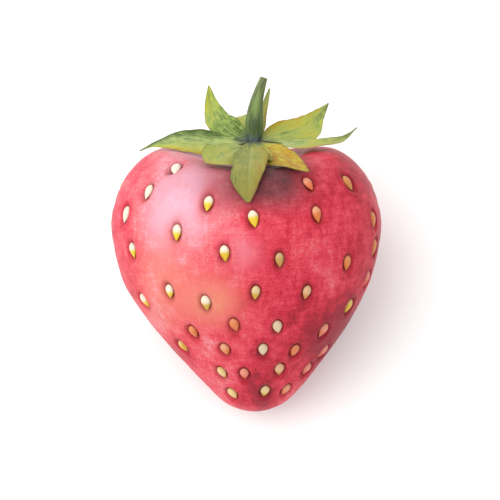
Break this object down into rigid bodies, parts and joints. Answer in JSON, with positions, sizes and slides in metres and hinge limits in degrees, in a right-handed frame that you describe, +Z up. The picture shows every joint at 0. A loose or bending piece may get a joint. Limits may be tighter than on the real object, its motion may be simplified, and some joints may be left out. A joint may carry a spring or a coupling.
{
  "type": "strawberry",
  "caption": "Ripe heart-shaped strawberry as picked, lying on its flank, with pitted red flesh, seed-like achenes, a leafy green calyx and a short stalk.",
  "frame": {"origin": "on the small flat on the flank that the berry rests on, at table height", "axes": "+Z up from the table, +Y along the berry from its tip to its calyx, +X to the berry's right seen from above with the calyx away"},
  "size_m": [0.0399, 0.047, 0.0364],
  "materials": {
    "flesh": "moist satin red skin, paler and pinker on the left shoulder, deeper crimson on the right",
    "achene": "satin, cream to yellow, more orange towards the tip and the right",
    "sepal": "soft matte leaf green with lighter, yellower edges",
    "bractlet": "soft matte yellow green",
    "calyx_disc": "matte dark green",
    "peduncle": "satin green stalk, grey blue at its foot"
  },
  "bodies": {
    "root": {"flesh": "flesh", "calyx_disc": "calyx_disc", "peduncle": "peduncle", "sepal_top": "sepal", "sepal_top_right": "sepal", "sepal_right": "sepal", "sepal_under": "sepal", "sepal_left": "sepal", "bractlet_top": "bractlet", "bractlet_right": "bractlet", "bractlet_under_right": "bractlet", "bractlet_under_left": "bractlet", "bractlet_top_left": "bractlet", "achene_01": "achene", "achene_02": "achene", "achene_03": "achene", "achene_04": "achene", "achene_05": "achene", "achene_06": "achene", "achene_07": "achene", "achene_08": "achene", "achene_09": "achene", "achene_10": "achene", "achene_11": "achene", "achene_12": "achene", "achene_13": "achene", "achene_14": "achene", "achene_15": "achene", "achene_16": "achene", "achene_17": "achene", "achene_18": "achene", "achene_19": "achene", "achene_20": "achene", "achene_21": "achene", "achene_22": "achene", "achene_23": "achene", "achene_24": "achene", "achene_25": "achene", "achene_26": "achene", "achene_27": "achene", "achene_28": "achene", "achene_29": "achene", "achene_30": "achene", "achene_31": "achene", "achene_32": "achene", "achene_33": "achene", "achene_34": "achene", "achene_35": "achene", "achene_36": "achene", "achene_37": "achene", "achene_38": "achene"}
  },
  "joints": []
}
